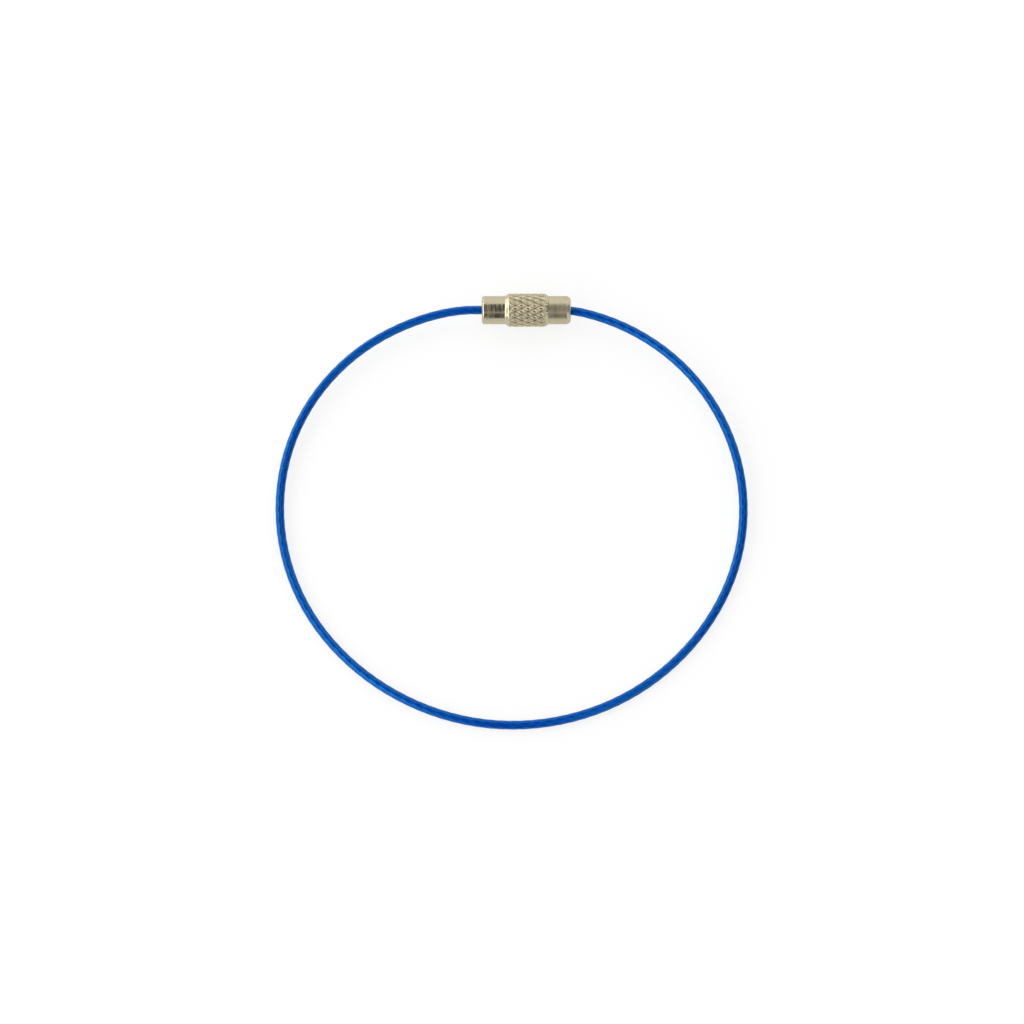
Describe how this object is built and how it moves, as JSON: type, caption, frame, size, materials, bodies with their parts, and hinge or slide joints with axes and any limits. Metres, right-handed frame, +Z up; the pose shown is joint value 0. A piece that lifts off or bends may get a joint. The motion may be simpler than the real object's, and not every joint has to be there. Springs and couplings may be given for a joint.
{
  "type": "wire keyring loop",
  "caption": "Closed loop of blue plastic-coated wire rope; a knurled barrel screws onto a threaded stud to close it.",
  "frame": {"origin": "middle of the clasp's length, under it, on the surface that the loop lies on", "axes": "+X along the clasp from the barrel's plain end to the stud's head, +Z up from the surface; the loop runs towards -Y"},
  "size_m": [0.0837, 0.0805, 0.006],
  "materials": {
    "nickel_plate": "warm nickel plate over turned brass",
    "aluminium": "crimped sleeve, dull",
    "blue_coating": "extruded PVC, glossy, with the strands showing through",
    "wire": "galvanised wire"
  },
  "bodies": {
    "cable": {"cable_jacket": "blue_coating", "core_strand": "wire", "outer_strand_1": "wire", "outer_strand_2": "wire", "outer_strand_3": "wire", "outer_strand_4": "wire", "outer_strand_5": "wire", "outer_strand_6": "wire", "stop_ferrule": "aluminium"},
    "barrel": {"barrel": "nickel_plate"},
    "stud": {"threaded_stud": "nickel_plate"}
  },
  "joints": [
    {"name": "barrel_turn", "type": "hinge", "parent": "cable", "child": "barrel", "pos_m": [0, 0, 0.003], "axis": [-1, 0, 0], "range_deg": [0, 2880]},
    {"name": "stud_draw", "type": "slide", "parent": "cable", "child": "stud", "axis": [1, 0, 0], "range_m": [0, 0.0056], "deforming": ["cable_jacket", "core_strand", "outer_strand_1", "outer_strand_2", "outer_strand_3", "outer_strand_4", "outer_strand_5", "outer_strand_6"]}
  ],
  "couplings": [
    {"joint": "barrel_turn", "follows": "stud_draw", "rad_per_m": 8976}
  ]
}
